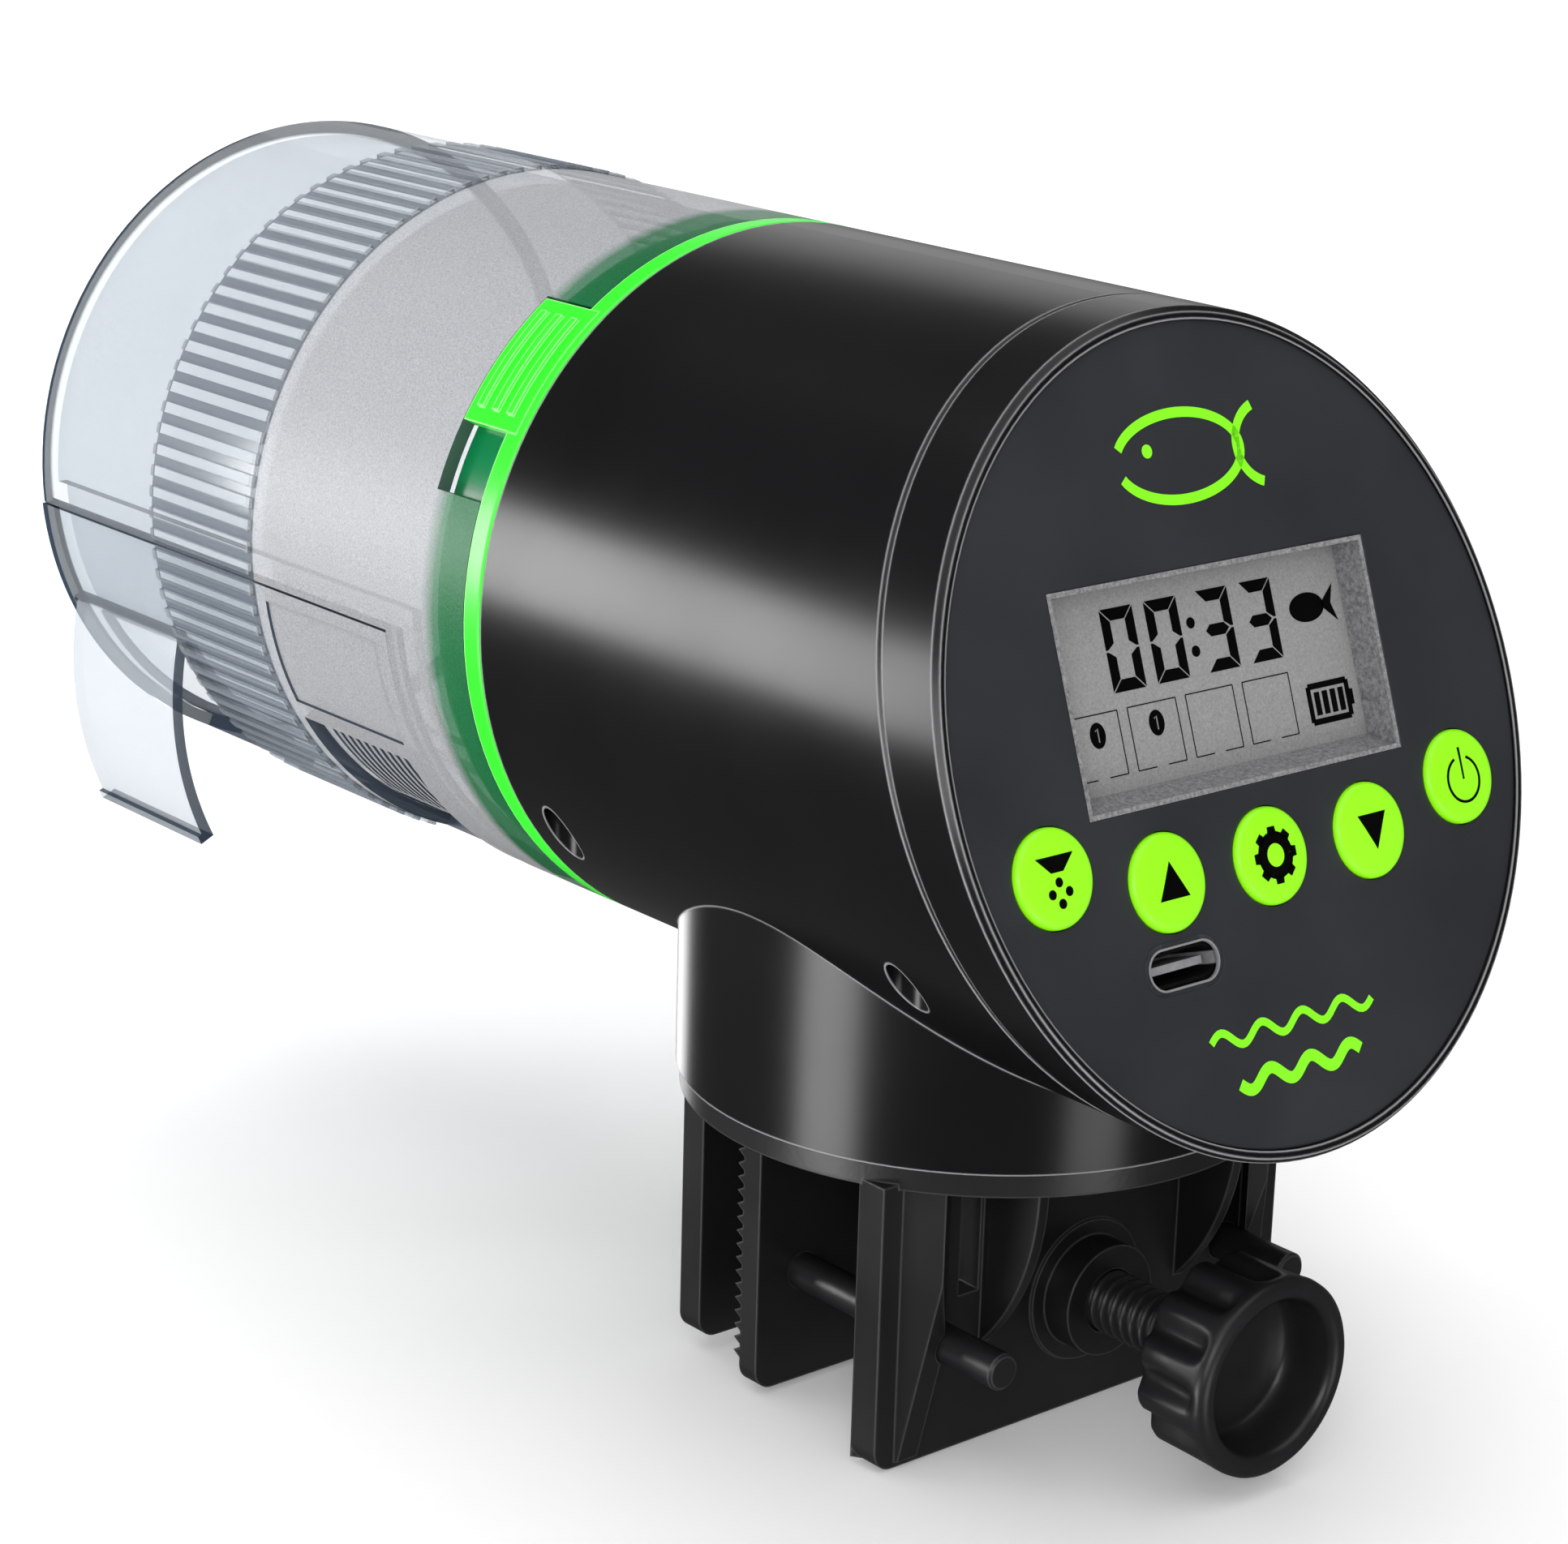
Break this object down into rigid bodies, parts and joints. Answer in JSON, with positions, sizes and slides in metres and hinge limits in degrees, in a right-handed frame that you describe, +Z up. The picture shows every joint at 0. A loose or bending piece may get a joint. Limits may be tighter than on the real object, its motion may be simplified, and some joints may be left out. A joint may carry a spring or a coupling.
{
  "type": "automatic fish feeder",
  "caption": "Battery fish feeder with a rotating smoky food drum, slanted display face with push buttons, and a screw clamp that swivels on a tank rim.",
  "frame": {"origin": "where the tank's rim meets the fixed jaw: middle of the fixed jaw's inner face, at the clamp collar's underside", "axes": "+Z up, +Y from the control face towards the drum, +X to the right of someone facing the control face"},
  "size_m": [0.0708, 0.1575, 0.1049],
  "materials": {
    "housing_black": "glossy moulded",
    "clamp_black": "satin moulded",
    "ring_green": "bright, glossy",
    "hub_green": "dark, glossy",
    "drum_smoke": "smoky translucent, frosted near the body and clear at the end",
    "face_slate": "satin printed panel",
    "lcd_grey": "speckled grey",
    "lcd_glass": "matt display glass",
    "button_lime": "soft gloss",
    "steel": "plated",
    "brass": "turned",
    "board_green": "solder mask",
    "inner_black": "moulded",
    "battery_wrap": "shrink film",
    "gear_white": "acetal"
  },
  "bodies": {
    "clamp": {"clamp_frame": "clamp_black", "swivel_retainer": "inner_black", "swivel_screw": "steel"},
    "jaw": {"clamp_jaw": "clamp_black", "guide_pins": "clamp_black"},
    "thumb_screw": {"clamp_screw": "clamp_black", "clamp_knob": "clamp_black"},
    "housing": {"body_shell": "housing_black", "front_bezel": "housing_black", "face_panel": "face_slate", "lcd_frame": "lcd_grey", "lcd_panel": "lcd_glass", "button_switches": "inner_black", "main_board": "board_green", "board_screws": "steel", "usb_socket": "steel", "chassis": "inner_black", "housing_screws": "steel", "battery_pack": "battery_wrap", "motor": "steel", "compound_axle": "steel", "shaft_bush": "brass"},
    "drum_drive": {"output_gear": "gear_white", "drive_shaft": "steel", "drum_hub": "hub_green", "hub_screw": "steel", "lock_ring": "ring_green"},
    "compound": {"compound_gear": "gear_white"},
    "pinion": {"motor_pinion": "brass"},
    "drum": {"drum_shell": "drum_smoke"},
    "gate": {"dose_gate": "drum_smoke"},
    "flap": {"outlet_flap": "drum_smoke"},
    "key_manual": {"button_manual": "button_lime"},
    "key_up": {"button_up": "button_lime"},
    "key_set": {"button_set": "button_lime"},
    "key_down": {"button_down": "button_lime"},
    "key_power": {"button_power": "button_lime"}
  },
  "joints": [
    {"name": "housing_swivel", "type": "hinge", "parent": "clamp", "child": "housing", "pos_m": [0, -0.0136, 0.0022], "axis": [0, 0, 1], "range_deg": [-180, 180]},
    {"name": "jaw_slide", "type": "slide", "parent": "clamp", "child": "jaw", "axis": [0, 1, 0], "range_m": [-0.0145, 0.0068]},
    {"name": "screw_turn", "type": "hinge", "parent": "jaw", "child": "thumb_screw", "pos_m": [0, -0.0391, -0.0158], "axis": [0, 1, 0], "range_deg": [-4176, 1958.4]},
    {"name": "drum_spin", "type": "hinge", "parent": "housing", "child": "drum_drive", "pos_m": [0, 0.0189, 0.0422], "axis": [0, 1, 0], "continuous": true},
    {"name": "compound_spin", "type": "hinge", "parent": "housing", "child": "compound", "pos_m": [0.01149, 0.0099, 0.05184], "axis": [0, 1, 0], "continuous": true},
    {"name": "pinion_spin", "type": "hinge", "parent": "housing", "child": "pinion", "pos_m": [-0.00046, 0.0089, 0.05874], "axis": [0, 1, 0], "continuous": true},
    {"name": "drum_twist", "type": "hinge", "parent": "drum_drive", "child": "drum", "pos_m": [0, 0.0239, 0.0422], "axis": [0, 1, 0], "range_deg": [0, 11]},
    {"name": "gate_slide", "type": "hinge", "parent": "drum", "child": "gate", "pos_m": [0, 0.0669, 0.0422], "axis": [0, -1, 0], "range_deg": [0, 24]},
    {"name": "flap_swing", "type": "hinge", "parent": "gate", "child": "flap", "pos_m": [-0.03099, 0.0877, 0.02762], "axis": [0, 1, 0], "range_deg": [-37, 60]},
    {"name": "press_manual", "type": "slide", "parent": "housing", "child": "key_manual", "axis": [0, 0.9403, -0.3404], "range_m": [0, 0.0006], "stiffness_N_per_m": 800},
    {"name": "press_up", "type": "slide", "parent": "housing", "child": "key_up", "axis": [0, 0.9403, -0.3404], "range_m": [0, 0.0006], "stiffness_N_per_m": 800},
    {"name": "press_set", "type": "slide", "parent": "housing", "child": "key_set", "axis": [0, 0.9403, -0.3404], "range_m": [0, 0.0006], "stiffness_N_per_m": 800},
    {"name": "press_down", "type": "slide", "parent": "housing", "child": "key_down", "axis": [0, 0.9403, -0.3404], "range_m": [0, 0.0006], "stiffness_N_per_m": 800},
    {"name": "press_power", "type": "slide", "parent": "housing", "child": "key_power", "axis": [0, 0.9403, -0.3404], "range_m": [0, 0.0006], "stiffness_N_per_m": 800}
  ],
  "couplings": [
    {"joint": "screw_turn", "follows": "jaw_slide", "rad_per_m": 5026.5},
    {"joint": "compound_spin", "follows": "drum_spin", "ratio": -4},
    {"joint": "pinion_spin", "follows": "drum_spin", "ratio": 14.4}
  ]
}
